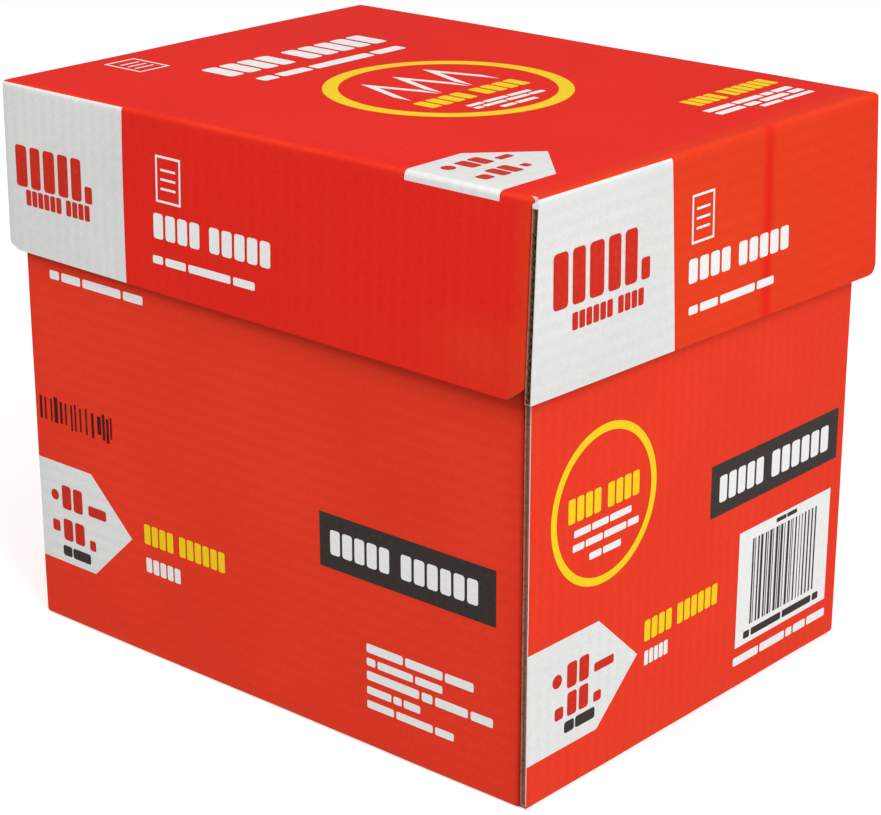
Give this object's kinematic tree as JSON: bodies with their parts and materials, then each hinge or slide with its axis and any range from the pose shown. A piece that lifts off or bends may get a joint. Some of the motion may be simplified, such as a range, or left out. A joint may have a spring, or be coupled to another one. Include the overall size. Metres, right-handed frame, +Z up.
{
  "type": "carton of copy paper",
  "caption": "Corrugated board carton of loose copy paper: a folded tray holds the stack of sheets, and a half-depth lid lifts straight off it.",
  "frame": {"origin": "middle of the tray's underside, on the surface the carton stands on", "axes": "+Z up, the way the lid lifts; +X along the sheets' long side, towards an end wall; +Y across, towards a long wall"},
  "size_m": [0.3018, 0.2362, 0.254],
  "materials": {
    "printed_board": "matte",
    "copy_paper": "matte",
    "hot_melt_glue": "satin"
  },
  "bodies": {
    "tray": {"base_tray": "printed_board", "paper_stack": "copy_paper", "tray_glue": "hot_melt_glue"},
    "lid": {"lid": "printed_board", "lid_glue": "hot_melt_glue"}
  },
  "joints": [
    {"name": "lid_lift", "type": "slide", "parent": "tray", "child": "lid", "axis": [0, 0, 1], "range_m": [0, 0.1]}
  ]
}
